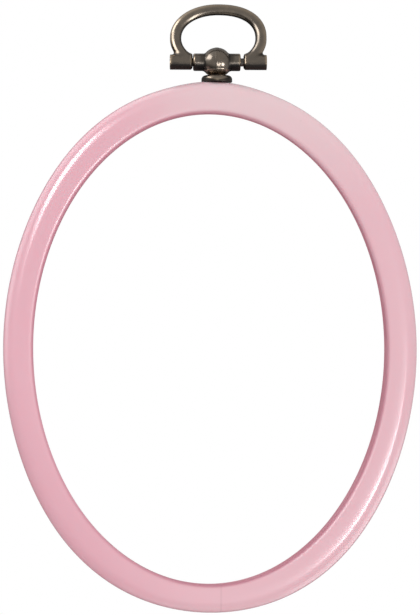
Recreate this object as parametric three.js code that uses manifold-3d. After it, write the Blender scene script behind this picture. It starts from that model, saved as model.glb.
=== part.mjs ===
// Oval embroidery hoop that hangs on a swivelling metal bail, in millimetres.
// Z is up, the front faces -Y, and the origin is where a nail touches the inside top of the bail.
// A soft vinyl ring is pushed over a hard plastic ring from the front, with the fabric between them.
// Sections of the rings are drawn as (out, back): out from the window's edge, back from the front face.

import * as THREE from 'three';
import { mergeVertices } from 'three/addons/utils/BufferGeometryUtils.js';
import Module from 'manifold-3d';

const wasm = await Module();
wasm.setup();

// Rings together
const windowWidth = 81.2;
const windowHeight = 108.4;
const rimWidth = 7.02;
const rimDepth = 9;
const gap = 0.3;

// Soft outer ring
const frontLipThickness = 1.9;
const frontLipCorner = 0.3;
const noseRadius = 0.9;
const crestPlace = 2.9;
const crestFall = 0.15;
const crestRadius = 9;
const shoulderRadius = 3;
const heelRadius = 1;
const outerDraft = 0.12;
const softCorner = 0.15;

// The soft ring sits unevenly: its outer wall swells in slow waves round the oval
const swells = [
  { waves: 2, size: 0.08, peak: -19 },
  { waves: 3, size: 0.12, peak: -30 },
  { waves: 4, size: 0.24, peak: 44 },
  { waves: 5, size: 0.06, peak: 14 },
  { waves: 6, size: 0.12, peak: -1 },
];

// The wall stands up into a low boss where the hanger is clamped to it
const bossRise = 0.42;
const bossHalfLength = 12;

// Hard inner ring
const hardWall = 1.75;
const hardDraft = 0.15;
const backLipReach = 1.25;
const backLipThickness = 1;
const hardCorner = 0.35;

// Hinge between bail and head
const pinRadius = 0.95;
const earWall = 0.5;
const barrelWall = 0.77;
const earChamfer = 0.4;
const barrelChamfer = 0.2;
const sidePlay = 1;
const earsOffset = 0.15;

// Bail, whose bow is fuller than an ellipse, which has a fullness of 2, and more so on its right
const leftFullness = 2.07;
const rightFullness = 2.3;
const eyeHalfWidth = 8.55;
const eyeHalfHeight = 5.38;
const eyeAbovePin = 5.47;
const wireAtTop = 2.55;
const wireAtSides = 2.63;
const wireDepth = 2.4;
const earInset = 0.235;

// Ball and barrel of the head
const ballRadius = 3.4;
const ballFootCut = 0.65;
const ballBlend = 0.35;
const ridgeHalfWidth = 0.62;
const ridgeHeight = 0.08;
const neckLedge = 0.23;
const neckFlare = 0.85;
const neckNarrowing = 0.85;
const spigotWall = 0.5;

// Rivet, collar and washer that clamp the soft ring
const hangerOffset = 1.57;
const collarRadius = 3.55;
const collarThickness = 1.6;
const collarShoulder = 0.9;
const collarFoot = 0.2;
const seatDepth = 0.38;
const studRadius = 0.9;
const studWeb = 0.45;
const studHeadRadius = 1.7;
const studHeadThickness = 0.9;
const studHeadDome = 0.35;
const studRecess = 0.1;
const washerRadius = 2.2;
const washerThickness = 0.5;

// Fineness of round surfaces, as counts of facets, and how far a facet strays from a rounded corner
const ovalSteps = 96;
const bowSteps = 30;
const wireSides = 14;
const smallSides = 20;
const largeSides = 32;
const profileSteps = 22;
const facetStray = 0.04;

// The most of a side that the rounded corners at its two ends take, and how close two points are one
const sideShare = 0.98;
const weldDistance = 1e-4;

// Places that follow from the sizes above
const halfWidth = windowWidth / 2;
const halfHeight = windowHeight / 2;
const pinBore = pinRadius + gap;
const earRadius = pinBore + earWall;
const barrelRadius = pinBore + barrelWall;
const bowEnd = Math.asin((eyeAbovePin - earRadius) / eyeHalfHeight);
const earInner = eyeHalfWidth * Math.cos(bowEnd) - earInset;
const earOuter = eyeHalfWidth + wireAtSides;
const barrelHalf = earInner - sidePlay / 2;
const headShift = earsOffset + sidePlay / 2 - gap;
const footDrop = ballRadius - ballFootCut;
const spigotRadius = studRadius + gap + spigotWall;
const frontLipEdge = hardDraft / 2;
const softWall = hardWall + gap;
const rebateOut = hardWall + backLipReach + gap;
const rebateBack = rimDepth - backLipThickness - gap;

// Heights, from the nail down to the middle of the oval
const pinZ = -eyeHalfHeight - eyeAbovePin;
const collarTop = pinZ - footDrop - gap;
const collarBottom = collarTop - collarThickness;
const seatZ = collarBottom - gap;
const hangerTurn = Math.PI / 2 - Math.asin(hangerOffset / (halfWidth + rimWidth));
const ovalX = -headShift - hangerOffset;
const ovalZ = seatZ + seatDepth - onOval(rimWidth + wallSwell(hangerTurn), hangerTurn).y;
const innerWallZ = ovalZ + onOval(softWall, hangerTurn).y;
const studHeadBottom = innerWallZ + studRecess;
const studHeadTop = studHeadBottom + studHeadThickness;
const washerBottom = studHeadTop + gap;
const washerTop = washerBottom + washerThickness;
const studBoreTop = pinZ - pinBore - studWeb;

// A point of the oval, a distance out from the edge of the window; a turn of 0 is right, a quarter is up
function onOval(out, turn) {
  const normal = new THREE.Vector2(halfHeight * Math.cos(turn), halfWidth * Math.sin(turn)).normalize();
  const edge = new THREE.Vector2(halfWidth * Math.cos(turn), halfHeight * Math.sin(turn));
  return edge.addScaledVector(normal, out);
}

// How far the outer wall stands out from its even width
function wallSwell(turn) {
  const fromHanger = Math.atan2(Math.sin(turn - hangerTurn), Math.cos(turn - hangerTurn));
  const along = Math.min(1, Math.abs(fromHanger * halfWidth) / bossHalfLength);
  const boss = bossRise * Math.cos((along * Math.PI) / 2) ** 2;
  return swells.reduce((sum, { waves, size, peak }) => {
    return sum + size * Math.cos(waves * (turn - THREE.MathUtils.degToRad(peak)));
  }, boss);
}

// Corner of an outline with the directions to its neighbours, and how far a round of its radius reaches
function bendOf([x, y, radius = 0], i, corners) {
  const corner = new THREE.Vector2(x, y);
  const [beforeX, beforeY] = corners[(i + corners.length - 1) % corners.length];
  const [afterX, afterY] = corners[(i + 1) % corners.length];
  const before = new THREE.Vector2(beforeX, beforeY).sub(corner);
  const after = new THREE.Vector2(afterX, afterY).sub(corner);
  const half = Math.acos(before.dot(after) / before.length() / after.length()) / 2;
  return { corner, before, after, half, reach: radius / Math.tan(half) };
}

// Closed outline through corners of [x, y, radius]: each is rounded by an arc, less where a side is short
function roundedOutline(corners) {
  const bends = corners.map(bendOf);
  return bends.flatMap(({ corner, before, after, half, reach }, i) => {
    if (reach === 0) return [corner];
    const beforeReach = reach + bends[(i + bends.length - 1) % bends.length].reach;
    const afterReach = reach + bends[(i + 1) % bends.length].reach;
    const room = sideShare * Math.min(before.length() / beforeReach, after.length() / afterReach);
    const tangent = reach * Math.min(1, room);
    const start = before.clone().setLength(tangent);
    const end = after.clone().setLength(tangent);
    const arc = tangent * Math.tan(half);
    const centre = start.clone().add(end).setLength(Math.hypot(tangent, arc));
    const from = start.clone().sub(centre);
    const sweep = Math.sign(from.cross(end.clone().sub(centre))) * (Math.PI - 2 * half);
    const facet = 2 * Math.acos(1 - Math.min(1, facetStray / arc));
    const steps = Math.ceil(Math.abs(sweep) / facet);
    return Array.from({ length: steps + 1 }, (_, step) => {
      const spoke = from.clone().rotateAround(new THREE.Vector2(), (sweep * step) / steps);
      return spoke.add(centre).add(corner);
    });
  });
}

// A turned solid about Z, from [radius, height, corner radius] given anticlockwise
function turned(corners, sides) {
  const outline = roundedOutline(corners);
  const closed = [...outline, outline[0]];
  return new THREE.LatheGeometry(closed, sides).rotateX(Math.PI / 2);
}

function rod(radius, bottom, top, sides) {
  return turned([[0, bottom], [radius, bottom], [radius, top], [0, top]], sides);
}

// Turns a solid made about Z so that it lies along X
function alongX(geometry) {
  return geometry.rotateY(Math.PI / 2);
}

// A round ring of the section's outline, pulled on to the oval so that its section stays the same
function ovalRing(outline, swellAt = () => 0) {
  const centred = outline.map(({ x, y }) => new THREE.Vector2(halfWidth + x, y - rimDepth / 2));
  const ring = new THREE.LatheGeometry([...centred, centred[0]], ovalSteps);
  const places = ring.attributes.position;
  for (let i = 0; i < places.count; i += 1) {
    const turn = Math.atan2(places.getZ(i), places.getX(i));
    const out = Math.hypot(places.getX(i), places.getZ(i)) - halfWidth;
    const share = THREE.MathUtils.clamp((out - softWall) / (rimWidth - softWall), 0, 1);
    const place = onOval(out + share * swellAt(turn), turn);
    places.setX(i, place.x);
    places.setZ(i, place.y);
  }
  return ring;
}

// Booleans, on closed meshes whose vertices are shared and whose slivers are dropped
function manifold(geometry) {
  geometry.deleteAttribute('normal');
  geometry.deleteAttribute('uv');
  const { attributes, index } = mergeVertices(geometry, weldDistance);
  const triangles = [];
  for (let i = 0; i < index.count; i += 3) {
    const triangle = [index.getX(i), index.getX(i + 1), index.getX(i + 2)];
    if (new Set(triangle).size === 3) triangles.push(...triangle);
  }
  const vertProperties = Float32Array.from(attributes.position.array);
  const triVerts = Uint32Array.from(triangles);
  return new wasm.Manifold(new wasm.Mesh({ numProp: 3, vertProperties, triVerts }));
}

function toGeometry(body) {
  const { vertProperties, triVerts } = body.getMesh();
  const geometry = new THREE.BufferGeometry();
  geometry.setAttribute('position', new THREE.BufferAttribute(vertProperties, 3));
  geometry.setIndex(new THREE.BufferAttribute(triVerts, 1));
  geometry.computeVertexNormals();
  return geometry;
}

function welded(geometry) {
  return toGeometry(manifold(geometry));
}

function joined(first, ...others) {
  return toGeometry(others.reduce((body, other) => body.add(manifold(other)), manifold(first)));
}

function cut(first, ...tools) {
  return toGeometry(tools.reduce((body, tool) => body.subtract(manifold(tool)), manifold(first)));
}

// Soft outer ring, with a seat and a bore for the hanger at the top
function outerRing() {
  const section = roundedOutline([
    [frontLipEdge, crestFall, noseRadius],
    [crestPlace, 0, crestRadius],
    [rimWidth, crestFall, shoulderRadius],
    [rimWidth - outerDraft, rimDepth, heelRadius],
    [rebateOut, rimDepth, softCorner],
    [rebateOut, rebateBack],
    [softWall, rebateBack, softCorner],
    [softWall, frontLipThickness],
    [frontLipEdge, frontLipThickness, frontLipCorner],
  ]);
  const seat = rod(collarRadius + gap, seatZ, collarTop, largeSides);
  const bore = rod(studRadius + gap, innerWallZ, collarTop, smallSides);
  const pocket = rod(washerRadius + gap, innerWallZ - gap, washerTop + gap, largeSides);
  const tools = [seat, bore, pocket].map((tool) => tool.translate(hangerOffset, 0, -ovalZ));
  return cut(ovalRing(section, wallSwell), ...tools);
}

// Hard inner ring: a thin band with a lip at the back that the soft ring's rebate takes
function innerRing() {
  return welded(ovalRing(roundedOutline([
    [frontLipEdge, frontLipThickness + gap, hardCorner],
    [hardWall - hardDraft, frontLipThickness + gap, hardCorner],
    [hardWall, rimDepth - backLipThickness],
    [hardWall + backLipReach, rimDepth - backLipThickness, softCorner],
    [hardWall + backLipReach, rimDepth, hardCorner],
    [0, rimDepth, hardCorner],
  ])));
}

// The bail's bow: a rod bent round the eye, thicker at the sides, that ends inside the ears
function bow() {
  const rodShape = new THREE.CylinderGeometry(1, 1, 1, wireSides, bowSteps);
  const places = rodShape.attributes.position;
  for (let i = 0; i < places.count; i += 1) {
    const across = (1 + places.getX(i)) / 2;
    const angle = (0.5 + places.getY(i)) * (Math.PI + 2 * bowEnd) - bowEnd;
    const [aside, rise] = [Math.cos(angle), Math.sin(angle)];
    const power = 2 / (aside > 0 ? rightFullness : leftFullness);
    const [wide, high] = rise > 0 ? [Math.abs(aside) ** power, rise ** power] : [Math.abs(aside), rise];
    const x = Math.sign(aside) * wide * (eyeHalfWidth + across * wireAtSides);
    const z = high * (eyeHalfHeight + across * wireAtTop) + eyeAbovePin;
    places.setXYZ(i, x, (-places.getZ(i) * wireDepth) / 2, z);
  }
  return rodShape;
}

// Ear on the side of the given sign, with its inner edge chamfered; the left one is the shorter
function ear(side) {
  const inner = earInner - side * earsOffset;
  const shape = turned([
    [0, inner],
    [earRadius - earChamfer, inner],
    [earRadius, inner + earChamfer],
    [earRadius, earOuter],
    [0, earOuter],
  ], largeSides);
  return alongX(shape).rotateZ(side > 0 ? 0 : Math.PI);
}

function bail() {
  const body = joined(bow(), ear(1), ear(-1));
  return cut(body, alongX(rod(pinBore, -earOuter - gap, earOuter + gap, smallSides)));
}

function hingePin() {
  return welded(alongX(rod(pinRadius, -earOuter, earOuter, smallSides)));
}

// Ball and barrel as one turned form, blended where they meet, with a raised ridge round the ball
function headRadius(x) {
  const ball = Math.sqrt(Math.max(0, ballRadius ** 2 - x ** 2));
  const near = Math.max(0, ballBlend - Math.abs(ball - barrelRadius)) / ballBlend;
  const ridge = Math.abs(x) < ridgeHalfWidth ? Math.cos((x / ridgeHalfWidth) * (Math.PI / 2)) : 0;
  return Math.max(ball, barrelRadius) + (near ** 2 * ballBlend) / 4 + ridge * ridgeHeight;
}

function ballAndBarrel() {
  const reach = Math.hypot(ballRadius, ballBlend);
  const steps = Array.from({ length: profileSteps + 1 }, (_, step) => step);
  const ballPlaces = steps.map((step) => reach * ((2 * step) / profileSteps - 1));
  return alongX(turned([
    [0, -barrelHalf],
    [barrelRadius - barrelChamfer, -barrelHalf],
    [barrelRadius, barrelChamfer - barrelHalf],
    ...ballPlaces.map((x) => [headRadius(x), x]),
    [barrelRadius, barrelHalf - barrelChamfer],
    [barrelRadius - barrelChamfer, barrelHalf],
    [0, barrelHalf],
  ], largeSides));
}

// Flare under the barrel that draws in to the foot, narrower front to back so that the ball stays proud
function neck() {
  const footRadius = Math.sqrt(ballRadius ** 2 - footDrop ** 2) + neckLedge;
  const flare = turned([
    [0, -footDrop],
    [footRadius, -footDrop],
    [footRadius + neckFlare, neckFlare - footDrop],
    [0, neckFlare - footDrop],
  ], largeSides);
  return flare.scale(1, neckNarrowing, 1);
}

// What is cut off the bottom of the ball so that it stands flat over the collar
function belowFoot() {
  return new THREE.BoxGeometry(2 * (barrelHalf + gap), 2 * (ballRadius + gap), ballRadius)
    .translate(0, 0, -footDrop - ballRadius / 2);
}

function hangerHead() {
  const spigot = rod(spigotRadius, collarBottom - pinZ, gap - footDrop, largeSides);
  const body = joined(cut(ballAndBarrel(), belowFoot()), neck(), spigot);
  const pinHole = alongX(rod(pinBore, -barrelHalf - gap, barrelHalf + gap, smallSides));
  const studHole = rod(studRadius + gap, collarBottom - pinZ - gap, studBoreTop - pinZ, smallSides);
  return cut(body, pinHole, studHole);
}

// Rivet that turns in the soft ring and is fixed in the head
function stud() {
  return welded(turned([
    [0, studHeadBottom],
    [studHeadRadius, studHeadBottom, studHeadDome],
    [studHeadRadius, studHeadTop],
    [studRadius, studHeadTop],
    [studRadius, studBoreTop - gap],
    [0, studBoreTop - gap],
  ], smallSides));
}

function collar() {
  const hole = spigotRadius + gap;
  return welded(turned([
    [hole, collarBottom],
    [collarRadius, collarBottom, collarFoot],
    [collarRadius, collarTop, collarShoulder],
    [hole, collarTop],
  ], largeSides));
}

function backingWasher() {
  const hole = studRadius + gap;
  return welded(turned([
    [hole, washerBottom],
    [washerRadius, washerBottom],
    [washerRadius, washerTop],
    [hole, washerTop],
  ], largeSides));
}

function piece(name, geometry, look) {
  const mesh = new THREE.Mesh(geometry, new THREE.MeshStandardMaterial(look));
  mesh.name = name;
  return mesh;
}

const softVinyl = { color: '#e1b2bc', roughness: 0.28, metalness: 0 };
const hardPlastic = { color: '#d9a0ac', roughness: 0.4, metalness: 0 };
const agedBrass = { color: '#6e6252', roughness: 0.34, metalness: 1 };
const bareSteel = { color: '#8d8a86', roughness: 0.4, metalness: 1 };

const group = new THREE.Group();

const rings = new THREE.Group();
rings.position.set(ovalX, 0, ovalZ);
rings.add(piece('outer_ring', outerRing(), softVinyl), piece('inner_ring', innerRing(), hardPlastic));

const hinge = new THREE.Group();
hinge.position.z = pinZ;
const head = piece('hanger_head', hangerHead(), agedBrass);
head.position.x = -headShift;
hinge.add(piece('bail', bail(), agedBrass), piece('hinge_pin', hingePin(), bareSteel), head);

const clamp = new THREE.Group();
clamp.position.x = -headShift;
clamp.add(
  piece('stud', stud(), bareSteel),
  piece('collar', collar(), agedBrass),
  piece('backing_washer', backingWasher(), bareSteel),
);

group.add(rings, hinge, clamp);

export default group;
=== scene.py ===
import cmath
import math

import bmesh
import bpy
import numpy as np
from bpy.props import FloatProperty, FloatVectorProperty, IntProperty, PointerProperty
from mathutils import Matrix, Vector


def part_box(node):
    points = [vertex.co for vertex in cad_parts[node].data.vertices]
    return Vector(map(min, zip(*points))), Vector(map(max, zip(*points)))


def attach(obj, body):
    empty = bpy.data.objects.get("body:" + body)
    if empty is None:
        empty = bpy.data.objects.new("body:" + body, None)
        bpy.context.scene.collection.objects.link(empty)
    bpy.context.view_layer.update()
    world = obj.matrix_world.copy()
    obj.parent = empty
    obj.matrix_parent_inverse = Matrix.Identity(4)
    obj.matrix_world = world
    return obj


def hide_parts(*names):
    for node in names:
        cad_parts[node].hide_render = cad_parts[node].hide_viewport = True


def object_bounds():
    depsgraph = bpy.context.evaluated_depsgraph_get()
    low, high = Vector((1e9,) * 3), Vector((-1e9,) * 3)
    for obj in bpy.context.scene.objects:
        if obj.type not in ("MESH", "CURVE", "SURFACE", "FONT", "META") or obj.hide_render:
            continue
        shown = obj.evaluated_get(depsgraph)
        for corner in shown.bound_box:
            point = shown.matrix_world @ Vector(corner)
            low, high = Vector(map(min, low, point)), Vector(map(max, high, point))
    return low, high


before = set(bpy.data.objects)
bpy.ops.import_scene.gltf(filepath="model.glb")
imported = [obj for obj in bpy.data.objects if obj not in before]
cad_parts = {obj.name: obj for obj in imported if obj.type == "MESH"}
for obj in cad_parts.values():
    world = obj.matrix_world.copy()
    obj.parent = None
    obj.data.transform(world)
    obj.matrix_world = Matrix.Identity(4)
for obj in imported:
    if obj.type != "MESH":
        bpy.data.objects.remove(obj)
cad_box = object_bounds()

# The hoop's pieces are laid round the frame in metres, with Z up and the front towards -Y.
# Sections of the rings are drawn as (out, back): out from the window's edge, back from the front face.

bl_info = {
    "name": "Oval embroidery hoop",
    "version": (1, 0, 0),
    "blender": (4, 5, 0),
    "location": "3D View > Sidebar > Hoop",
    "description": "Dresses the frame of an oval embroidery hoop with finished pieces",
    "category": "Object",
}

MM = 0.001
IMAGE_HEIGHT = 615

# Facets: most of a side that its rounded corners take, largest step round an arc, sides of a turned piece,
# and the angle from which an edge stays sharp
SIDE_SHARE = 0.98
ARC_STEP = math.radians(7.5)
TURNED_SIDES = 96
SHARP_ANGLE = math.radians(38)

# Casting: grid steps, small rounds at the edges, neck's fillet, and metal between the pin's and rivet's bores
BAIL_GRID, HEAD_GRID = 0.11 * MM, 0.09 * MM
EAR_ROUND, BARREL_ROUND = 0.12 * MM, 0.1 * MM
NECK_FILLET = 0.4 * MM
BORE_WEB = 0.45 * MM
RELIEF_ROUNDS = 10

LIGHT_DISTANCE = 1.2


# Sizes and colours

def length(name, description, millimetres):
    return FloatProperty(name=name, description=description, default=millimetres * MM,
                         unit="LENGTH", subtype="DISTANCE", precision=5)


def number(name, description, value):
    return FloatProperty(name=name, description=description, default=value)


def angle(name, description, degrees):
    return FloatProperty(name=name, description=description, default=math.radians(degrees), subtype="ANGLE")


def colour(name, description, red, green, blue):
    """A colour property, given as it shows on a screen, from 0 to 255."""
    return FloatVectorProperty(name=name, description=description, subtype="COLOR", size=3, min=0, max=1,
                               default=[linear(value / 255) for value in (red, green, blue)])


def linear(value):
    """Screen value, from 0 to 1, as light."""
    return value / 12.92 if value <= 0.04045 else ((value + 0.055) / 1.055) ** 2.4


def middle(node):
    low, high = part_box(node)
    return (low + high) / 2


# Hard ring's band and back lip, in mm, from which the window's size follows
HARD_WALL = 1.75
BACK_LIP_REACH = 1.25
RING_LOW, RING_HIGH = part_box("inner_ring")
RING_CENTRE = middle("inner_ring")
LIP_OUT = (HARD_WALL + BACK_LIP_REACH) * MM
WINDOW_HALF_WIDTH = (RING_HIGH.x - RING_LOW.x) / 2 - LIP_OUT
WINDOW_HALF_HEIGHT = (RING_HIGH.z - RING_LOW.z) / 2 - LIP_OUT
PIN_CENTRE = middle("hinge_pin")
CLAMP_CENTRE = middle("collar")
CLAMP_AXIS = Vector((CLAMP_CENTRE.x, CLAMP_CENTRE.y, 0))

# Slow waves of the soft ring's outer wall: how many go round, size in mm, and a crest's place in degrees
SWELLS = ((2, 0.08, -19), (3, 0.12, -30), (4, 0.24, 44), (5, 0.06, 14), (6, 0.12, -1))


class RingSizes(bpy.types.PropertyGroup):
    half_width: length("Window half width", "Half the window's width", WINDOW_HALF_WIDTH / MM)
    half_height: length("Window half height", "Half the window's height", WINDOW_HALF_HEIGHT / MM)
    rim_width: length("Rim width", "From the window's edge to the outside of the soft ring", 7.02)
    rim_depth: length("Rim depth", "From the front face to the back face", 9)
    gap: length("Gap", "Clearance between neighbouring pieces", 0.3)
    front_lip: length("Front lip", "Thickness of the soft ring's front lip", 1.9)
    front_edge: length("Front edge", "From the window's edge to the front lip", 0.04)
    crest: length("Crest", "From the window's edge to the highest line of the front", 2.9)
    crest_fall: length("Crest fall", "How far the front falls away on both sides of its crest", 0.15)
    nose_radius: length("Nose radius", "Round of the front lip's inner corner", 0.81)
    nose_start: length("Nose start", "From the window's edge to where the front starts to roll inwards", 0.86)
    nose_fall: length("Nose fall", "How far the front has fallen at its inner corner", 0.374)
    roll_radius: length("Roll radius", "Round of the front where it rolls inwards", 2.1)
    lip_overhang: length("Lip overhang", "How far the front lip stands over the hard ring at its most", 0.42)
    lip_turn: angle("Lip turn", "Place round the oval where the front lip stands over most", 68)
    shoulder_radius: length("Shoulder radius", "Round of the front's outer corner", 3)
    heel_radius: length("Heel radius", "Round of the soft ring's back outer corner", 1)
    outer_draft: length("Outer draft", "How far the outer wall leans in towards the back", 0.12)
    corner_radius: length("Corner radius", "Round of the lesser corners", 0.3)
    hard_wall: length("Hard wall", "Thickness of the hard ring's band", HARD_WALL)
    hard_draft: length("Hard draft", "Taper of the hard ring's band", 0.15)
    lip_reach: length("Back lip reach", "How far the hard ring's back lip stands out", BACK_LIP_REACH)
    lip_thickness: length("Back lip thickness", "Thickness of the hard ring's back lip", 1)
    boss_rise: length("Boss rise", "How far the soft ring stands up under the hanger", 0.42)
    boss_half_length: length("Boss half length", "Half the length of that rise", 12)
    steps: IntProperty(name="Steps", description="Steps round the oval", default=640, min=3)


class BailSizes(bpy.types.PropertyGroup):
    left_fullness: number("Left fullness", "Fullness of the bow's left side; 2 is an ellipse", 2.07)
    right_fullness: number("Right fullness", "Fullness of the bow's right side; 2 is an ellipse", 2.3)
    eye_half_width: length("Eye half width", "Half the width of the eye", 8.55)
    eye_half_height: length("Eye half height", "Half the height of the eye's oval", 5.38)
    eye_above_pin: length("Eye above pin", "From the pin up to the middle of the eye", 5.47)
    wire_top: length("Wire at the top", "Thickness of the bow at its top", 2.55)
    wire_sides: length("Wire at the sides", "Thickness of the bow at its sides", 2.63)
    wire_depth: length("Wire depth", "Thickness of the bow from front to back", 2.4)
    ear_wall: length("Ear wall", "Wall of the ears round the pin", 0.5)
    ear_inset: length("Ear inset", "From the eye's edge to the ear's inner end", 0.235)
    ears_offset: length("Ears offset", "How far the gap between the ears lies to the left", 0.15)
    left_reach: length("Left reach", "How much closer the left ear comes to the barrel", 0.16)
    ear_chamfer: length("Ear chamfer", "Chamfer of the ear's inner end", 0.4)
    fillet: length("Fillet", "Reach of the fillet where the bow meets the ears", 0.9)
    pin_radius: length("Pin radius", "Radius of the hinge pin", 0.95)
    peened_radius: length("Peened radius", "Radius of the pin's spread ends", 1.2)


class HeadSizes(bpy.types.PropertyGroup):
    ball_radius: length("Ball radius", "Radius of the ball", 3.4)
    foot_cut: length("Foot cut", "How much of the ball is cut off below", 0.65)
    blend: length("Blend", "Reach of the fillet between ball and barrel", 0.3)
    barrel_wall: length("Barrel wall", "Wall of the barrel round the pin", 0.77)
    barrel_chamfer: length("Barrel chamfer", "Chamfer of the barrel's ends", 0.2)
    ridge_half_width: length("Ridge half width", "Half the width of the band over the ball", 0.6)
    ridge_height: length("Ridge height", "How far the band stands out", 0.03)
    ridge_edge: length("Ridge edge", "Width of the band's sloping edges", 0.14)
    neck_ledge: length("Neck ledge", "How far the neck's foot stands out past the ball", 0.23)
    neck_flare: length("Neck flare", "Height and spread of the neck's cone", 0.85)
    neck_narrowing: number("Neck narrowing", "Depth of the neck over its width", 0.85)
    spigot_wall: length("Spigot wall", "Wall of the spigot round the rivet", 0.5)


class ClampSizes(bpy.types.PropertyGroup):
    collar_shoulder: length("Collar shoulder", "Round of the collar's upper edge", 0.95)
    collar_foot: length("Collar foot", "Round of the collar's lower edge", 0.2)
    seat_play: length("Seat play", "Clearance between the collar and its seat", 0.05)
    stud_radius: length("Rivet radius", "Radius of the rivet's shank", 0.9)
    stud_head_radius: length("Rivet head radius", "Radius of the rivet's head", 1.7)
    stud_head: length("Rivet head", "Thickness of the rivet's head", 0.9)
    stud_dome: length("Rivet dome", "Round of the rivet's head", 0.35)
    washer_radius: length("Washer radius", "Radius of the backing washer", 2.2)
    washer_edge: length("Washer edge", "Round of the washer's lower edge", 0.12)


class Finishes(bpy.types.PropertyGroup):
    vinyl: colour("Vinyl", "Body of the soft ring", 230, 177, 189)
    # Paler pink painted on as light on the soft ring's upper right
    vinyl_painted_light: colour("Vinyl, faded", "Paler side of the soft ring", 230, 201, 205)
    # Deeper pink painted on as shade at the soft ring's inner edge and lower left
    vinyl_painted_shade: colour("Vinyl, deep", "Soft ring at its inner edge", 182, 106, 126)
    vinyl_fleck: colour("Vinyl fleck", "Small specks in the soft ring", 150, 95, 105)
    hard: colour("Hard plastic", "Body of the hard ring", 206, 138, 153)
    hard_deep: colour("Hard plastic, deep", "Deeper clouds in the hard ring", 194, 122, 138)
    # Brass of the rubbed edges, also painted on as light where faces turn outwards
    brass: colour("Aged brass", "High spots of the hanger", 186, 166, 142)
    patina: colour("Patina", "Darkened brass of the hanger", 98, 93, 88)
    # Grime of the hollows, also painted on as shade on undersides and inward rims
    grime_and_shade: colour("Grime", "Nearly black hollows of the hanger", 27, 27, 29)
    steel: colour("Steel", "Pin, rivet and washer", 96, 92, 88)
    floor: colour("Floor", "Floor under the hoop", 236, 234, 231)


class StageSettings(bpy.types.PropertyGroup):
    camera_azimuth: angle("Camera azimuth", "How far the camera stands to the left", -3)
    camera_elevation: angle("Camera elevation", "How far the camera stands below", -1.6)
    camera_distance: length("Camera distance", "From the camera to the hoop", 900)
    pixel: length("Pixel", "Size of an image pixel at the hoop", 0.23)
    aim_z: length("Aim height", "Height that the camera aims at", -67.37)
    sky: number("Sky", "Strength of the light from all round", 1.0)
    softbox: number("Softbox", "Strength of the softboxes that light the rings", 24)
    fill: number("Fill", "Strength of the fill lights at the rings' outer sides", 2.2)
    reflector: number("Reflector", "Strength of the reflectors that light the hanger", 7)
    floor_drop: length("Floor drop", "From the hoop down to the floor", 900)
    floor_side: length("Floor side", "Width of the floor", 1000)


# Node trees

def operator(operation, reflected=False):
    """What a Python operator does to a socket: it adds a Math node."""
    def method(self, other):
        return self.worked_out(operation, *((other, self) if reflected else (self, other)))
    return method


class Socket:
    """One output of a node. Python's operators on it add Math and Vector Math nodes."""

    __add__, __radd__ = operator("ADD"), operator("ADD", True)
    __sub__, __rsub__ = operator("SUBTRACT"), operator("SUBTRACT", True)
    __mul__, __rmul__ = operator("MULTIPLY"), operator("MULTIPLY", True)
    __truediv__, __pow__ = operator("DIVIDE"), operator("POWER")

    def __init__(self, tree, output):
        self.tree = tree
        self.output = output

    @classmethod
    def node(cls, tree, kind, inputs=None, output=0, **settings):
        """Adds a node. Its settings are set first, then the values or links of its inputs."""
        node = tree.nodes.new(kind)
        for name, value in settings.items():
            setattr(node, name, value)
        feed(node, inputs or {})
        return cls(tree, node.outputs[output])

    def worked_out(self, operation, *values):
        """A Math node on the values in their order, or a Vector Math node where one is a vector."""
        vector = any(isinstance(value, Socket) and value.output.type == "VECTOR" for value in values)
        kind = "ShaderNodeVectorMath" if vector else "ShaderNodeMath"
        if vector:
            values = [(value,) * 3 if isinstance(value, (int, float)) else value for value in values]
        return Socket.node(self.tree, kind, dict(enumerate(values)), operation=operation)

    def maths(self, operation, *others):
        return self.worked_out(operation, self, *others)

    def cosine(self):
        return self.maths("COSINE")

    def sine(self):
        return self.maths("SINE")

    def ramp(self, low, high):
        """0 up to low, 1 from high, and smooth between them; low may be the larger."""
        ends = {"Value": self, "From Min": low, "From Max": high}
        return Socket.node(self.tree, "ShaderNodeMapRange", ends, interpolation_type="SMOOTHSTEP")

    def along(self, direction):
        """How far a vector reaches in a direction."""
        values = {0: self, 1: direction}
        return Socket.node(self.tree, "ShaderNodeVectorMath", values, "Value", operation="DOT_PRODUCT")

    def part(self, axis):
        """One coordinate of a vector."""
        return Socket.node(self.tree, "ShaderNodeSeparateXYZ", {0: self}, axis)


def feed(node, values):
    """Sets or links the node's inputs."""
    for name, value in values.items():
        if isinstance(value, Socket):
            value.tree.links.new(value.output, node.inputs[name])
        else:
            node.inputs[name].default_value = value


def mixed(factor, first, second):
    """Colour between two, each a socket or three numbers."""
    first, second = (shade if isinstance(shade, Socket) else (*shade, 1) for shade in (first, second))
    return Socket.node(factor.tree, "ShaderNodeMix", {0: factor, 6: first, 7: second}, 2, data_type="RGBA")


# The oval ring, swept by geometry nodes

# The sizes that the sweep takes as its inputs, under their own names
SWEEP_SIZES = ("steps", "half_width", "half_height", "rim_width", "front_edge", "crest", "hard_wall",
               "lip_overhang", "lip_turn", "boss_rise", "boss_half_length")


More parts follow.
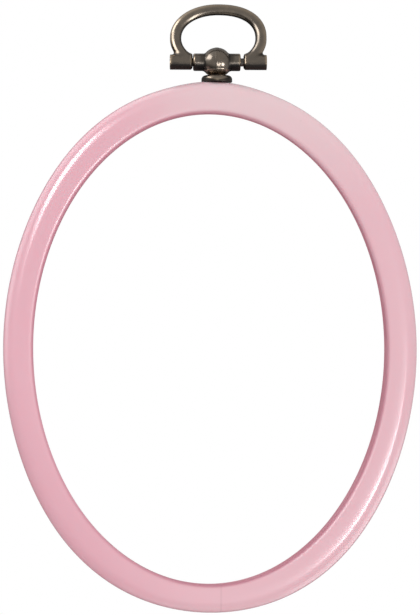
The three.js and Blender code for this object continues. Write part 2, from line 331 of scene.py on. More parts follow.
def sweep_tree(names):
    """Tree that sweeps a closed outline, drawn as (out, back), round the window's oval. Its inputs are the
    outline and the names given."""
    tree = bpy.data.node_groups.new("oval_sweep", "GeometryNodeTree")
    tree.is_modifier = True
    kinds = {"outline": "Geometry", "steps": "Int"}
    for name in ("outline", *names):
        tree.interface.new_socket(name, in_out="INPUT", socket_type="NodeSocket" + kinds.get(name, "Float"))
    tree.interface.new_socket("ring", in_out="OUTPUT", socket_type="NodeSocketGeometry")
    entry = tree.nodes.new("NodeGroupInput")
    given = {output.name: Socket(tree, output) for output in entry.outputs if output.name}

    place = Socket.node(tree, "GeometryNodeInputPosition")
    outline = Socket.node(tree, "GeometryNodeMeshToCurve", {"Mesh": given["outline"]})
    outline = stored(outline, "out", place.part(0))
    outline = stored(outline, "back", place.part(1))
    circle = {"Resolution": given["steps"], "Radius": 1.0}
    path = Socket.node(tree, "GeometryNodeCurvePrimitiveCircle", circle, "Curve")
    path = stored(path, "turn", place.part(1).maths("ARCTAN2", place.part(0)))
    ring = Socket.node(tree, "GeometryNodeCurveToMesh", {"Curve": path, "Profile Curve": outline})

    out, back, turn = (kept(tree, name) for name in ("out", "back", "turn"))
    swell_ends = {"Value": out, "From Min": given["crest"], "From Max": given["rim_width"]}
    share = Socket.node(tree, "ShaderNodeMapRange", swell_ends) * given["swelling"]
    lip_share = out.ramp(given["hard_wall"], given["front_edge"]) * given["swelling"]
    facing = (turn - given["lip_turn"]).cosine().maths("MAXIMUM", 0.0)
    reach = out + share * wall_swell(given, turn) - given["lip_overhang"] * facing ** 2.0 * lip_share
    wide, high = given["half_width"], given["half_height"]
    slope_x, slope_z = high * turn.cosine(), wide * turn.sine()
    steep = (slope_x * slope_x + slope_z * slope_z).maths("SQRT")
    x = given["middle_x"] + wide * turn.cosine() + slope_x / steep * reach
    z = given["middle_z"] + high * turn.sine() + slope_z / steep * reach
    target = Socket.node(tree, "ShaderNodeCombineXYZ", {"X": x, "Y": given["front_y"] + back, "Z": z})
    ring = Socket.node(tree, "GeometryNodeSetPosition", {"Geometry": ring, "Position": target})
    feed(tree.nodes.new("NodeGroupOutput"), {"ring": ring})
    return tree


def stored(geometry, name, value):
    """The geometry with a number kept on each of its points."""
    inputs = {"Geometry": geometry, "Name": name, "Value": value}
    return Socket.node(geometry.tree, "GeometryNodeStoreNamedAttribute", inputs)


def kept(tree, name):
    """A number that was kept on each point, for geometry nodes."""
    return Socket.node(tree, "GeometryNodeInputNamedAttribute", {"Name": name})


def wall_swell(given, turn):
    """How far the outer wall stands out from its even width, in slow waves and one rise at the hanger."""
    away = turn - given["hanger_turn"]
    away = away.sine().maths("ARCTAN2", away.cosine()).maths("ABSOLUTE")
    along = (away * given["half_width"] / given["boss_half_length"]).maths("MINIMUM", 1.0)
    swell = given["boss_rise"] * (along * (math.pi / 2)).cosine() ** 2.0
    for waves, size, peak in SWELLS:
        swell = swell + size * MM * ((turn - math.radians(peak)) * float(waves)).cosine()
    return swell


def swept_ring(name, outline, swelling):
    """Ring object with the outline's section. Swelling, 0.0 or 1.0, is for the soft ring's waves and lip."""
    sizes = bpy.context.scene.hoop_rings
    points = [(*corner, 0) for corner in outline]
    edges = [(i, (i + 1) % len(points)) for i in range(len(points))]
    mesh = bpy.data.meshes.new(name + "_outline")
    mesh.from_pydata(points, edges, [])
    values = {
        "swelling": swelling,
        "middle_x": RING_CENTRE.x,
        "middle_z": RING_CENTRE.z,
        "front_y": RING_HIGH.y - sizes.rim_depth,
        "hanger_turn": math.acos((CLAMP_CENTRE.x - RING_CENTRE.x) / (sizes.half_width + sizes.rim_width)),
        **{size: getattr(sizes, size) for size in SWEEP_SIZES},
    }
    base = new_object(name + "_outline", mesh)
    modifier = base.modifiers.new("oval_sweep", "NODES")
    modifier.node_group = sweep_tree(values)
    for item in modifier.node_group.interface.items_tree:
        if item.name in values:
            modifier[item.identifier] = values[item.name]
    ring = finished_copy(base, name)
    recalculate_normals(ring.data)
    return ring


# Meshes

def new_object(name, data):
    thing = bpy.data.objects.new(name, data)
    bpy.context.scene.collection.objects.link(thing)
    return thing


def finished_copy(source, name):
    """A plain mesh object of what the source's modifiers make, in the source's place."""
    evaluated = source.evaluated_get(bpy.context.evaluated_depsgraph_get())
    mesh = bpy.data.meshes.new_from_object(evaluated)
    mesh.name = name
    bpy.data.objects.remove(source)
    return new_object(name, mesh)


def recalculate_normals(mesh):
    shape = bmesh.new()
    shape.from_mesh(mesh)
    bmesh.ops.remove_doubles(shape, verts=shape.verts, dist=1e-7)
    bmesh.ops.recalc_face_normals(shape, faces=shape.faces)
    shape.to_mesh(mesh)
    shape.free()


def mesh_object(name, points, faces):
    mesh = bpy.data.meshes.new(name)
    mesh.from_pydata(points, [], faces)
    recalculate_normals(mesh)
    return new_object(name, mesh)


def rounded_outline(corners):
    """Outline through corners of (x, y, radius), each corner rounded by an arc where it has a radius."""
    places = [complex(x, y) for x, y, _ in corners]
    size = len(places)
    sides = [places[(i + 1) % size] - places[i] for i in range(size)]
    turns = [cmath.phase(sides[i] / sides[i - 1]) for i in range(size)]
    wanted = [corner[2] * math.tan(abs(turn) / 2) for corner, turn in zip(corners, turns)]
    shared = [wanted[i] + wanted[(i + 1) % size] for i in range(size)]
    room = [1 if reach == 0 else min(1, SIDE_SHARE * abs(side) / reach) for reach, side in zip(shared, sides)]
    outline = []
    for i, (place, turn) in enumerate(zip(places, turns)):
        tangent = wanted[i] * min(room[i - 1], room[i])
        if tangent == 0:
            outline.append((place.real, place.imag))
            continue
        ahead = sides[i - 1] / abs(sides[i - 1])
        centre = place + ahead * complex(-tangent, tangent / math.tan(turn / 2))
        spoke = place - ahead * tangent - centre
        steps = max(1, math.ceil(abs(turn) / ARC_STEP))
        points = [centre + spoke * cmath.rect(1, turn * step / steps) for step in range(steps + 1)]
        outline.extend((point.real, point.imag) for point in points)
    return outline


def turned_piece(name, corners, centre, along="Z"):
    """Turned solid from corners of (radius, height, corner radius), about an axis through the centre."""
    outline = rounded_outline(corners)
    rows = len(outline)
    points, faces = [], []
    for side in range(TURNED_SIDES):
        turn = 2 * math.pi * side / TURNED_SIDES
        here, after = side * rows, (side + 1) % TURNED_SIDES * rows
        for row, (radius, height) in enumerate(outline):
            across = (radius * math.cos(turn), radius * math.sin(turn))
            points.append((height, *across) if along == "X" else (*across, height))
            up = (row + 1) % rows
            faces.append((here + row, after + row, after + up, here + up))
    return mesh_object(name, [tuple(Vector(point) + centre) for point in points], faces)


# Cast shapes, drawn as fields of distance that are below zero inside

def filleted(first, second, reach):
    """Both solids together, with a fillet where they meet."""
    near = np.maximum(reach - np.abs(first - second), 0) / reach
    return np.minimum(first, second) - near ** 2 * reach / 4


def within(first, second, reach):
    """What is inside both solids, with its edges rounded."""
    return -filleted(-first, -second, reach)


def chamfered_end(end, side, chamfer, soft):
    """A rod's end, from the distances past its end and past its side."""
    slope = (end + side + chamfer) / math.sqrt(2)
    return within(within(end, side, soft), slope, soft)


def bail_field(x, y, z):
    """The bail: a bow that is thicker at its sides, an ear at each foot, and the pin's bore through both."""
    sizes = bpy.context.scene.hoop_bail
    gap = bpy.context.scene.hoop_rings.gap
    x, y, z = x - PIN_CENTRE.x, y - PIN_CENTRE.y, z - PIN_CENTRE.z
    rise = z - sizes.eye_above_pin
    fullness = np.where(x > 0, sizes.right_fullness, sizes.left_fullness)
    fullness = np.where(rise > 0, fullness, 2)
    # Newton's steps to how far across the wire a point lies: 0 at its inside and 1 at its outside
    across = np.full_like(x, 0.5)
    for _ in range(6):
        wide = np.maximum(sizes.eye_half_width + across * sizes.wire_sides, MM)
        high = np.maximum(sizes.eye_half_height + across * sizes.wire_top, MM)
        aside, above = (np.abs(x) / wide) ** fullness, (np.abs(rise) / high) ** fullness
        fall = fullness * (aside * sizes.wire_sides / wide + above * sizes.wire_top / high)
        across = np.clip(across + (aside + above - 1) / np.maximum(fall, 1e-3), -1.5, 4)
    half_depth = sizes.wire_depth / 2
    bow = (np.hypot(2 * across - 1, y / half_depth) - 1) * half_depth
    pin_bore = sizes.pin_radius + gap
    ear_radius = pin_bore + sizes.ear_wall
    bow_end = math.asin((sizes.eye_above_pin - ear_radius) / sizes.eye_half_height)
    past_end = -(np.arctan2(rise / high, np.abs(x) / wide) + bow_end) * sizes.eye_half_width
    bow = np.maximum(bow, past_end)
    ear_inner = sizes.eye_half_width * math.cos(bow_end) - sizes.ear_inset
    ear_inner = ear_inner - np.where(x > 0, sizes.ears_offset, sizes.left_reach - sizes.ears_offset)
    from_pin = np.hypot(y, z)
    past_ear_end = np.abs(x) - (sizes.eye_half_width + sizes.wire_sides)
    ear = chamfered_end(ear_inner - np.abs(x), from_pin - ear_radius, sizes.ear_chamfer, EAR_ROUND)
    ear = within(ear, past_ear_end, EAR_ROUND)
    body = filleted(bow, ear, sizes.fillet)
    body = within(body, past_ear_end, EAR_ROUND)
    return within(body, pin_bore - from_pin, EAR_ROUND)


def head_field(x, y, z):
    """The head: a ball with a band over it, on a barrel round the pin, with a neck and a spigot below."""
    scene = bpy.context.scene
    sizes = scene.hoop_head
    gap = scene.hoop_rings.gap
    stud_bore = scene.hoop_clamp.stud_radius + gap
    pin_bore = scene.hoop_bail.pin_radius + gap
    x, y, z = x - CLAMP_CENTRE.x, y - PIN_CENTRE.y, z - PIN_CENTRE.z
    from_pin, from_stud = np.hypot(y, z), np.hypot(x, y)
    barrel_radius = pin_bore + sizes.barrel_wall
    foot_drop = sizes.ball_radius - sizes.foot_cut
    past_ridge = (np.abs(x) - sizes.ridge_half_width) / sizes.ridge_edge
    ridge = 0.5 - 0.5 * np.tanh(2 * past_ridge) - np.exp(-past_ridge ** 2)
    ball = np.sqrt(x ** 2 + y ** 2 + z ** 2) - sizes.ball_radius - ridge * sizes.ridge_height
    low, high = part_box("hanger_head")
    past_end = np.abs(x) - (high.x - low.x) / 2
    barrel = chamfered_end(past_end, from_pin - barrel_radius, sizes.barrel_chamfer, BARREL_ROUND)
    body = filleted(ball, barrel, sizes.blend)
    body = within(body, -foot_drop - z, BARREL_ROUND)
    foot_radius = math.sqrt(sizes.ball_radius ** 2 - foot_drop ** 2) + sizes.neck_ledge
    cone = np.hypot(x, y / sizes.neck_narrowing) - foot_radius - (z + foot_drop)
    cone = np.maximum(cone / math.sqrt(2), z + foot_drop - sizes.neck_flare)
    cone = within(cone, -foot_drop - z, BARREL_ROUND)
    body = filleted(body, cone, NECK_FILLET)
    spigot = np.maximum(from_stud - stud_bore - sizes.spigot_wall, z + foot_drop - gap)
    spigot = np.maximum(spigot, low.z - PIN_CENTRE.z - z)
    body = np.minimum(body, spigot)
    body = within(body, pin_bore - from_pin, BARREL_ROUND)
    stud_hole = np.maximum(from_stud - stud_bore, z + pin_bore + BORE_WEB)
    return np.maximum(body, -stud_hole)


def surface_of(field, low, high, step):
    """Points and four-sided faces where the field is zero: one point in each crossed cell of a grid."""
    margin = 2.5 * step
    axes = [np.arange(a - margin, b + margin, step) for a, b in zip(low, high)]
    values = field(*np.meshgrid(*axes, indexing="ij"))
    cells = [size - 1 for size in values.shape]
    sums = np.zeros((*cells, 3))
    counts = np.zeros(cells)
    crossings = []
    for axis in range(3):
        first, second = (values.take(range(side, cells[axis] + side), axis) for side in (0, 1))
        places = np.argwhere((first < 0) != (second < 0))
        here, there = first[tuple(places.T)], second[tuple(places.T)]
        points = places.astype(float)
        points[:, axis] += here / (here - there)
        others = [other for other in range(3) if other != axis]
        ring = []
        for a, b in ((0, 0), (1, 0), (1, 1), (0, 1)):
            cell = places.copy()
            cell[:, others] -= (a, b)
            np.add.at(sums, tuple(cell.T), points)
            np.add.at(counts, tuple(cell.T), 1)
            ring.append(cell)
        crossings.append(ring)
    used = counts > 0
    numbers = np.full(cells, -1)
    numbers[used] = np.arange(used.sum())
    points = sums[used] / counts[used][:, None] * step + np.array([axis[0] for axis in axes])
    faces = [np.stack([numbers[tuple(cell.T)] for cell in ring], axis=1) for ring in crossings]
    return drawn_to(field, points, step), np.concatenate(faces)


def drawn_to(field, points, step):
    """The points, moved straight on to where the field is zero."""
    reach = step / 4
    for _ in range(3):
        slope = np.zeros_like(points)
        for axis, shift in enumerate(np.eye(3) * reach):
            slope[:, axis] = (field(*(points + shift).T) - field(*(points - shift).T)) / (2 * reach)
        steepness = np.maximum((slope ** 2).sum(axis=1), 0.25)
        move = field(*points.T)[:, None] * slope / steepness[:, None]
        points = points - np.clip(move, -step, step)
    return points


def cast_piece(name, field, step, body, node, centre=None):
    """Casts a brass piece from its field, in the box of the node that it stands for."""
    low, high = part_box(node)
    points, faces = surface_of(field, low, high, step)
    piece = mesh_object(name, points.tolist(), faces.tolist())
    mark_relief(piece, centre)
    finish_piece(piece, body, node, "aged_brass")


def mark_relief(thing, centre=None):
    """Keeps on each point how its surface curves, in turns per millimetre: hollows are below zero. With a
    centre, also keeps how far the surface faces away from it, seen from the front."""
    mesh = thing.data
    size = len(mesh.vertices)
    places = np.array([vertex.co for vertex in mesh.vertices])
    normals = np.array([normal.vector for normal in mesh.vertex_normals])
    edges = np.array([edge.vertices for edge in mesh.edges])
    here, there = np.concatenate([edges, edges[:, ::-1]]).T
    along = places[there] - places[here]
    span = np.maximum((along ** 2).sum(axis=1), 1e-12)
    bend = ((normals[there] - normals[here]) * along).sum(axis=1) / span * MM
    shared = np.bincount(here, minlength=size)
    relief = np.bincount(here, bend, size) / np.maximum(shared, 1)
    for _ in range(RELIEF_ROUNDS):
        relief = (relief + np.bincount(here, relief[there], size)) / (shared + 1)
    marks = {"relief": relief}
    if centre:
        outward = (places - centre) * (1, 0, 1)
        marks["facing"] = (normals * outward).sum(axis=1) / np.maximum(np.linalg.norm(outward, axis=1), 1e-9)
    for name, values in marks.items():
        mesh.attributes.new(name, "FLOAT", "POINT").data.foreach_set("value", values)


# Materials

def new_material(name):
    """A material, its shader, the place on the object that its patterns read, and the colours set."""
    material = bpy.data.materials.new(name)
    material.use_nodes = True
    place = Socket.node(material.node_tree, "ShaderNodeTexCoord", output="Object")
    shader = material.node_tree.nodes["Principled BSDF"]
    return material, shader, place, bpy.context.scene.hoop_finishes


def marked(place, name):
    """A number that was kept on each point, for shader nodes."""
    return Socket.node(place.tree, "ShaderNodeAttribute", output="Fac", attribute_name=name)


def noise(place, size, detail=2.0, roughness=0.5):
    """Cloudy value from 0 to 1, with clouds of about the size in metres."""
    return Socket.node(place.tree, "ShaderNodeTexNoise",
                       {"Vector": place, "Scale": 1 / size, "Detail": detail, "Roughness": roughness})


def flecks(place, size, radius, keep):
    """1 in small round specks: the share to keep of the cells of the size given holds one each."""
    inputs = {"Vector": place, "Scale": 1 / size}
    distance, pick = (Socket.node(place.tree, "ShaderNodeTexVoronoi", inputs, output)
                      for output in ("Distance", "Color"))
    return distance.ramp(radius / size, 0.4 * radius / size) * pick.part(0).ramp(keep + 0.01, keep - 0.01)


def bumped(height, strength, distance, normal=None):
    inputs = {"Height": height, "Strength": strength, "Distance": distance}
    if normal:
        inputs["Normal"] = normal
    return Socket.node(height.tree, "ShaderNodeBump", inputs)


def vinyl_material():
    """Glossy soft vinyl: pink, with painted light that makes it paler to the upper right and painted shade
    that makes it deeper at its inner edge and to the lower left, with a few flecks and a faint mould line at
    the bottom."""
    material, shader, place, looks = new_material("soft_vinyl")
    clouds = noise(place, 24 * MM, 3.0)
    grain = noise(place, 1.1 * MM)
    ripple = noise(place, 9 * MM, 1.0)
    specks = flecks(place, 9 * MM, 0.5 * MM, keep=0.3)
    line = (place.part(0) - 0.4 * MM).maths("ABSOLUTE").ramp(0.35 * MM, 0.05 * MM)
    line = line * place.part(2).ramp(-110 * MM, -125 * MM)
    # Painted light: the pink turns paler to the right, and more so at the top, where light falls.
    across = (place.part(0) + clouds * 12 * MM).ramp(-24 * MM, 10 * MM)
    painted_light = across * (0.33 + 0.67 * place.part(2).ramp(-50 * MM, -15 * MM))
    # Painted shade: the pink turns deeper to the lower left, and at the inner edge where the wall turns away,
    # more on two opposite sides; the inner edge is also rougher.
    shaded = place.along((-0.8, 0, -0.6)).ramp(84 * MM, 100 * MM)
    inner_face = marked(place, "out").ramp(0.95 * MM, 0.1 * MM)
    diagonal = (place.along((-0.74, 0, 0.67)) + 50 * MM).maths("ABSOLUTE").ramp(10 * MM, 50 * MM)
    shade = mixed(painted_light, looks.vinyl, looks.vinyl_painted_light)
    shade = mixed(inner_face * (0.45 + 0.5 * diagonal) + shaded * 0.08, shade, looks.vinyl_painted_shade)
    shade = mixed(specks * 0.4 + line * 0.12, shade, looks.vinyl_fleck)
    normal = bumped(ripple, 0.25, 0.012 * MM)
    normal = bumped(grain - line * 0.8, 0.25, 0.0015 * MM, normal)
    feed(shader, {
        "Base Color": shade,
        "Roughness": 0.19 + 0.05 * clouds + 0.4 * inner_face,
        "Normal": normal,
        "IOR": 1.5,
        "Subsurface Weight": 0.35,
        "Subsurface Radius": (1.0, 0.45, 0.5),
        "Subsurface Scale": 1.6 * MM,
    })
    return material


def hard_plastic_material():
    """Satin hard plastic, a little deeper in colour, with fine rubbing marks."""
    material, shader, place, looks = new_material("hard_plastic")
    clouds = noise(place, 12 * MM)
    grain = noise(place, 0.5 * MM)
    feed(shader, {
        "Base Color": mixed(clouds.ramp(0.3, 0.7), looks.hard, looks.hard_deep),
        "Roughness": 0.5 + 0.15 * grain,
        "Normal": bumped(grain, 0.25, 0.01 * MM),
        "Specular IOR Level": 0.2,
        "Subsurface Weight": 0.2,
        "Subsurface Radius": (1.0, 0.45, 0.5),
        "Subsurface Scale": 1.2 * MM,
    })
    return material


def aged_brass_material():
    """Antique brass: darkened all over, nearly black in its hollows, rubbed bright on its edges, with painted
    light on faces that turn outwards and painted shade on undersides, inward rims, the collar's foot and
    where the ball meets the barrel.
    """
    material, shader, place, looks = new_material("aged_brass")
    relief, facing = marked(place, "relief"), marked(place, "facing")
    clouds = noise(place, 2.2 * MM, 4.0, 0.6)
    grain = noise(place, 0.25 * MM, 3.0, 0.6)
    rubbed = (relief + clouds * 0.6 - 0.3).ramp(0.25, 1.4)
    hollow = (relief + clouds * 0.3).ramp(0.25, -0.35)
    # Painted light: faces that turn outwards from the bail's eye are made lighter; the rubbed edges are wear
    # and the clouds random tone.
    bright = rubbed * 0.55 + clouds * 0.3 + facing.ramp(0.1, 0.8) * 0.3
    # Painted shade: the lower halves of the ears and barrel, the barrel where it meets the ball, the collar's
    # foot and the bow's inward-facing rim are darkened towards the grime colour, where shade falls.
    height = place.part(2) + clouds * 0.4 * MM
    aside = (place.part(0) - CLAMP_CENTRE.x).maths("ABSOLUTE")
    low = height.ramp(PIN_CENTRE.z + 0.3 * MM, PIN_CENTRE.z - 0.6 * MM)
    root = aside.ramp(4.4 * MM, 3.4 * MM) * height.ramp(PIN_CENTRE.z + 3.2 * MM, PIN_CENTRE.z + 2.4 * MM)
    barrel = low.maths("MAXIMUM", root * 0.6) * aside.ramp(2.5 * MM, 3.2 * MM)
    foot = (height - aside * 0.25).ramp(CLAMP_CENTRE.z, CLAMP_CENTRE.z - 0.5 * MM)
    painted_shade = barrel.maths("MAXIMUM", foot).maths("MAXIMUM", facing.ramp(-0.5, -0.92))
    shade = mixed(bright, looks.patina, looks.brass)
    shade = mixed(hollow * 0.85, shade, looks.grime_and_shade)
    shade = mixed(painted_shade * 0.92, shade, looks.grime_and_shade)
    pits = flecks(place, 0.9 * MM, 0.08 * MM, keep=0.5)
    feed(shader, {
        "Base Color": shade,
        "Metallic": 1.0,
        "Roughness": 0.18 + 0.1 * clouds + 0.2 * hollow.maths("MAXIMUM", painted_shade) - 0.04 * rubbed,
        "Normal": bumped(grain - pits, 0.25, 0.004 * MM),
    })
    return material


def steel_material():
    """Dull drawn steel for the pin, the rivet and its washer."""
    material, shader, place, looks = new_material("dull_steel")
    clouds = noise(place, 1.5 * MM, 3.0)
    grain = noise(place, 0.2 * MM)
    dark = [0.35 * value for value in looks.steel]
    feed(shader, {
        "Base Color": mixed(clouds.ramp(0.35, 0.75), looks.steel, dark),
        "Metallic": 1.0,
        "Roughness": 0.36 + 0.2 * clouds,
        "Normal": bumped(grain, 0.3, 0.01 * MM),
    })
    return material


def floor_material():
    """Pale matt floor with faint wide clouds."""
    material, shader, place, looks = new_material("pale_floor")
    paler = [min(1.0, 1.03 * value) for value in looks.floor]
    feed(shader, {"Base Color": mixed(noise(place, 250 * MM), looks.floor, paler), "Roughness": 0.8})
    return material


# Pieces

MATERIALS = {
    "soft_vinyl": vinyl_material,
    "hard_plastic": hard_plastic_material,
    "aged_brass": aged_brass_material,
    "steel": steel_material,
}
made_materials = {}


def finish_piece(piece, body, node, slot):
    """Gives the piece its slot's material, shades it smooth but for its sharp edges, hangs it on its body's
    empty, and hides the part that it stands for."""
    if slot not in made_materials:
        made_materials[slot] = MATERIALS[slot]()
    piece.data.materials.append(made_materials[slot])
    piece.data.shade_smooth()
    piece.data.set_sharp_from_angle(angle=SHARP_ANGLE)
    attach(piece, body)
    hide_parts(node)


class HOOP_OT_soft_ring(bpy.types.Operator):
    """Makes the soft vinyl ring, with its seat and bore for the hanger"""

    bl_idname = "hoop.soft_ring"
    bl_label = "Soft vinyl ring"

    def execute(self, context):
        sizes = context.scene.hoop_rings
        clamp = context.scene.hoop_clamp
        rebate_out = sizes.hard_wall + sizes.lip_reach + sizes.gap
        rebate_back = sizes.rim_depth - sizes.lip_thickness - sizes.gap
        soft_wall = sizes.hard_wall + sizes.gap
        small = sizes.corner_radius / 2
        start_fall = sizes.crest_fall * (sizes.crest - sizes.nose_start) / (sizes.crest - sizes.front_edge)
        outline = rounded_outline([
            (sizes.front_edge, sizes.nose_fall, sizes.nose_radius),
            (sizes.nose_start, start_fall, sizes.roll_radius),
            (sizes.crest, 0, 3 * sizes.shoulder_radius),
            (sizes.rim_width, sizes.crest_fall, sizes.shoulder_radius),
            (sizes.rim_width - sizes.outer_draft, sizes.rim_depth, sizes.heel_radius),
            (rebate_out, sizes.rim_depth, small),
            (rebate_out, rebate_back, 0),
            (soft_wall, rebate_back, small),
            (soft_wall, sizes.front_lip, 0),
            (sizes.front_edge, sizes.front_lip, sizes.corner_radius),
        ])
        ring = swept_ring("soft_vinyl_ring", outline, 1.0)
        collar_low, collar_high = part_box("collar")
        pocket_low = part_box("stud")[0].z - sizes.gap
        pocket_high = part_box("backing_washer")[1].z + sizes.gap
        pocket_radius = clamp.washer_radius + sizes.gap
        stud_bore = clamp.stud_radius + sizes.gap
        seat_low = collar_low.z - clamp.seat_play
        seat_radius = (collar_high.x - collar_low.x) / 2 + clamp.seat_play
        cutter = turned_piece("hanger_cutter", [
            (0, pocket_low, 0),
            (pocket_radius, pocket_low, 0),
            (pocket_radius, pocket_high, 0),
            (stud_bore, pocket_high, 0),
            (stud_bore, seat_low, 0),
            (seat_radius, seat_low, 0),
            (seat_radius, collar_high.z, 0),
            (0, collar_high.z, 0),
        ], CLAMP_AXIS)
        boolean = ring.modifiers.new("hanger_seat", "BOOLEAN")
        boolean.operation = "DIFFERENCE"
        boolean.solver = "EXACT"
        boolean.object = cutter
        finished = finished_copy(ring, "soft_ring")
        bpy.data.objects.remove(cutter)
        finish_piece(finished, "hoop", "outer_ring", "soft_vinyl")
        return {"FINISHED"}


class HOOP_OT_hard_ring(bpy.types.Operator):
    """Makes the hard ring that the fabric is laid over"""

    bl_idname = "hoop.hard_ring"
    bl_label = "Hard plastic ring"

    def execute(self, context):
        sizes = context.scene.hoop_rings
        front = sizes.front_lip + sizes.gap
        lip = sizes.rim_depth - sizes.lip_thickness
        reach = sizes.hard_wall + sizes.lip_reach
        corner = sizes.corner_radius
        outline = rounded_outline([
            (sizes.hard_draft / 2, front, corner),
            (sizes.hard_wall - sizes.hard_draft, front, corner),
            (sizes.hard_wall, lip, corner / 2),
            (reach, lip, corner / 2),
            (reach, sizes.rim_depth, corner),
            (0, sizes.rim_depth, corner),
        ])
        ring = swept_ring("hard_ring", outline, 0.0)
        finish_piece(ring, "inner", "inner_ring", "hard_plastic")
        return {"FINISHED"}


class HOOP_OT_bail(bpy.types.Operator):
    """Makes the cast bail, whose bow flows into its two ears, and the pin through them"""

    bl_idname = "hoop.bail"
    bl_label = "Bail and pin"

    def execute(self, context):
        sizes = context.scene.hoop_bail
        eye = PIN_CENTRE + Vector((0, 0, sizes.eye_above_pin))
        cast_piece("cast_bail", bail_field, BAIL_GRID, "bail", "bail", eye)
        low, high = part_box("hinge_pin")
        half = (high.x - low.x) / 2
        tip, rim, shank = half - 0.05 * MM, half - 0.12 * MM, half - 1.25 * sizes.pin_radius
        bend = 0.2 * MM
        pin = turned_piece("peened_pin", [
            (0, -tip, 0),
            (sizes.peened_radius, -rim, bend),
            (sizes.pin_radius, -shank, bend),
            (sizes.pin_radius, shank, bend),
            (sizes.peened_radius, rim, bend),
            (0, tip, 0),
        ], PIN_CENTRE, along="X")
        finish_piece(pin, "bail", "hinge_pin", "steel")
        return {"FINISHED"}


class HOOP_OT_head(bpy.types.Operator):
    """Makes the cast head: a ball on a barrel, with its band, neck and spigot"""

    bl_idname = "hoop.head"
    bl_label = "Ball and barrel"

    def execute(self, context):
        cast_piece("cast_head", head_field, HEAD_GRID, "head", "hanger_head")
        return {"FINISHED"}


class HOOP_OT_clamp(bpy.types.Operator):
    """Makes the collar, the rivet and its washer, which clamp the soft ring"""

    bl_idname = "hoop.clamp"
    bl_label = "Collar, rivet and washer"

    def execute(self, context):
        sizes = context.scene.hoop_clamp
        gap = context.scene.hoop_rings.gap
        fine = 0.05 * MM
        low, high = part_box("collar")
        radius = (high.x - low.x) / 2
        hole = sizes.stud_radius + 2 * gap + context.scene.hoop_head.spigot_wall
        collar = turned_piece("clamp_collar", [
            (hole, low.z, 2 * fine),
            (radius, low.z, sizes.collar_foot),
            (radius, high.z, sizes.collar_shoulder),
            (hole, high.z, 2 * fine),
        ], CLAMP_AXIS)
        mark_relief(collar)
        finish_piece(collar, "hoop", "collar", "aged_brass")
        low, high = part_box("backing_washer")
        hole = sizes.stud_radius + gap
        washer = turned_piece("rivet_washer", [
            (hole, low.z, fine),
            (sizes.washer_radius, low.z, sizes.washer_edge),
            (sizes.washer_radius, high.z, fine),
            (hole, high.z, fine),
        ], CLAMP_AXIS)
        finish_piece(washer, "hoop", "backing_washer", "steel")
        low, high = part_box("stud")
        head_top = low.z + sizes.stud_head
        rivet = turned_piece("rivet", [
            (0, low.z, 0),
            (sizes.stud_head_radius, low.z, sizes.stud_dome),
            (sizes.stud_head_radius, head_top, 0.08 * MM),
            (sizes.stud_radius, head_top, 2 * fine),
            (sizes.stud_radius, high.z, 3 * fine),
            (0, high.z, 0),
        ], CLAMP_AXIS)
        finish_piece(rivet, "head", "stud", "steel")
        return {"FINISHED"}


# Stage

RINGS = ("soft_ring", "hard_ring")
BAIL = ("cast_bail", "peened_pin")
HEAD = ("cast_head", "clamp_collar", "rivet", "rivet_washer")

# The panels of light, as light_panel takes them, but with the strength as a setting of the stage and a share
PANELS = (
    ("upper_left_softbox", RINGS, 138, 36, 0.18, 0.38, 0.62, 0.01, "softbox", 1),
    ("lower_right_softbox", RINGS, 333, 22, 0.08, 0.29, 0.34, 0.01, "softbox", 1),
    ("lower_right_strip", RINGS, 347, 22, 0.02, 0.06, 0.36, 0.01, "softbox", 0.4),
    ("upper_left_fill", RINGS, 142, 100, 2.3, 2.3, 1.1, 0.5, "fill", 0.9),
    ("lower_right_fill", RINGS, 311, 100, 1.7, 1.7, 1.1, 0.4, "fill", 1.1),
    ("left_reflector", BAIL, 191, 45, 0.45, 0.5, 0.9, 0.01, "reflector", 0.85),
    ("left_middle_reflector", BAIL, 168, 58, 0.4, 0.4, 0.8, 0.01, "reflector", 0.6),
    ("upper_left_reflector", BAIL + HEAD, 144, 76, 0.5, 0.7, 0.8, 0.01, "reflector", 0.7),
    ("lower_reflector", BAIL, 307, 50, 0.16, 0.24, 1.0, 0.01, "reflector", 1.6),
    ("ball_middle_reflector", HEAD, 288, 19, 0.12, 0.16, 0.5, 0.01, "reflector", 2),
    ("ball_right_reflector", HEAD, 340, 49, 0.26, 0.3, 0.5, 0.01, "reflector", 2),
)


def light_panel(name, pieces, clock_degrees, lean_degrees, near, far, height, soft, strength):
    """A lit panel that faces the hoop, at a clock angle in the picture and a lean from the camera's line.
    It is as wide as near at its end by that line and as wide as far at its other end, fades over soft at
    its sides, and is flagged off from all but the pieces given."""
    clock, lean = math.radians(clock_degrees), math.radians(lean_degrees)
    away = Vector((math.cos(clock) * math.sin(lean), -math.cos(lean), math.sin(clock) * math.sin(lean)))
    along = Vector((math.cos(clock) * math.cos(lean), math.sin(lean), math.sin(clock) * math.cos(lean)))
    data = bpy.data.lights.new(name, "AREA")
    data.shape = "RECTANGLE"
    data.size, data.size_y = max(near, far), height
    data.energy = strength * data.size * height * math.pi
    data.use_nodes = True
    tree = data.node_tree
    place = Socket.node(tree, "ShaderNodeNewGeometry", output="Parametric")
    aside = (place.part(0) - 0.5).maths("ABSOLUTE") * data.size
    edge = (place.part(1) * (far - near) + near) / 2
    mask = (aside - edge).ramp(soft, -soft)
    feed(tree.nodes["Emission"], {"Strength": mask})
    light = new_object(name, data)
    light.location = Vector((RING_CENTRE.x, 0, RING_CENTRE.z)) + away * LIGHT_DISTANCE
    light.rotation_euler = Matrix((along.cross(away), along, away)).transposed().to_euler()
    light.visible_diffuse = False
    reached = bpy.data.collections.new(name + "_reach")
    for piece in pieces:
        reached.objects.link(bpy.data.objects[piece])
    light.light_linking.receiver_collection = reached


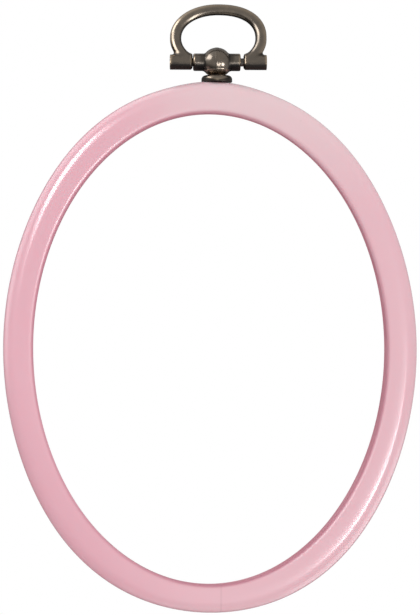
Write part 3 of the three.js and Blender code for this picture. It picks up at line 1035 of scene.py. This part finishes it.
class HOOP_OT_stage(bpy.types.Operator):
    """Makes the floor, the light and the camera"""

    bl_idname = "hoop.stage"
    bl_label = "Stage"

    def execute(self, context):
        stage = context.scene.hoop_stage
        make_floor(stage)
        make_sky(context.scene, stage)
        for *panel, setting, share in PANELS:
            light_panel(*panel, getattr(stage, setting) * share)
        make_camera(context.scene, stage)
        context.scene.view_settings.view_transform = "Standard"
        return {"FINISHED"}


def make_floor(stage):
    half = stage.floor_side / 2
    z = cad_box[0].z - stage.floor_drop
    corners = [(x * half, y * half, z) for x, y in ((-1, -1), (1, -1), (1, 1), (-1, 1))]
    floor = mesh_object("floor", corners, [(0, 1, 2, 3)])
    floor.data.materials.append(floor_material())


def make_sky(scene, stage):
    """White for the camera, and soft light that is stronger from the front and a little from above.
    Reflections see a grey room that is brighter to the upper left, darker behind, and darkest below."""
    world = bpy.data.worlds.new("sky")
    world.use_nodes = True
    tree = world.node_tree
    direction = Socket.node(tree, "ShaderNodeTexCoord", output="Generated")
    upper_left = direction.along((-0.72, 0.15, 0.68)).ramp(0.55, 0.95)
    behind = direction.part(1).ramp(0.3, 0.9)
    below = direction.along((-0.25, 0.3, -0.92)).ramp(0.1, 0.7)
    room = (0.6 + 0.35 * upper_left) * (1 - 0.97 * below) * (1 - 0.45 * behind)
    soft = 0.8 + direction.along((0.05, -0.3, 0.14))
    glossy, diffuse = (Socket.node(tree, "ShaderNodeLightPath", output=output)
                       for output in ("Is Glossy Ray", "Is Diffuse Ray"))
    strength = (1 + glossy * (room - 1) + diffuse * (soft - 1)) * stage.sky
    feed(tree.nodes["Background"], {"Color": (1, 1, 1, 1), "Strength": strength})
    scene.world = world


def make_camera(scene, stage):
    data = bpy.data.cameras.new("camera")
    camera = new_object("camera", data)
    camera.rotation_euler = (math.pi / 2 - stage.camera_elevation, 0, stage.camera_azimuth)
    behind = camera.rotation_euler.to_matrix() @ Vector((0, 0, stage.camera_distance))
    camera.location = Vector((RING_CENTRE.x, 0, stage.aim_z)) + behind
    data.lens = data.sensor_width * stage.camera_distance / (stage.pixel * IMAGE_HEIGHT)
    data.clip_start, data.clip_end = 0.01, 20
    scene.camera = camera


# Add-on

GROUPS = {
    "hoop_rings": RingSizes,
    "hoop_bail": BailSizes,
    "hoop_head": HeadSizes,
    "hoop_clamp": ClampSizes,
    "hoop_finishes": Finishes,
    "hoop_stage": StageSettings,
}
OPERATORS = (HOOP_OT_soft_ring, HOOP_OT_hard_ring, HOOP_OT_bail, HOOP_OT_head, HOOP_OT_clamp, HOOP_OT_stage)


class HOOP_PT_pieces(bpy.types.Panel):
    """Lists the hoop's pieces and their sizes"""

    bl_idname = "HOOP_PT_pieces"
    bl_label = "Embroidery hoop"
    bl_space_type = "VIEW_3D"
    bl_region_type = "UI"
    bl_category = "Hoop"

    def draw(self, context):
        for operator in OPERATORS:
            self.layout.operator(operator.bl_idname)
        for name, group in GROUPS.items():
            box = self.layout.box()
            for field in group.__annotations__:
                box.prop(getattr(context.scene, name), field)


def register():
    for name, group in GROUPS.items():
        bpy.utils.register_class(group)
        setattr(bpy.types.Scene, name, PointerProperty(type=group))
    for operator in OPERATORS:
        bpy.utils.register_class(operator)
    bpy.utils.register_class(HOOP_PT_pieces)


def unregister():
    bpy.utils.unregister_class(HOOP_PT_pieces)
    for operator in reversed(OPERATORS):
        bpy.utils.unregister_class(operator)
    for name, group in GROUPS.items():
        delattr(bpy.types.Scene, name)
        bpy.utils.unregister_class(group)


def main():
    register()
    bpy.ops.hoop.soft_ring()
    bpy.ops.hoop.hard_ring()
    bpy.ops.hoop.bail()
    bpy.ops.hoop.head()
    bpy.ops.hoop.clamp()
    bpy.ops.hoop.stage()


if __name__ == "__main__":
    main()
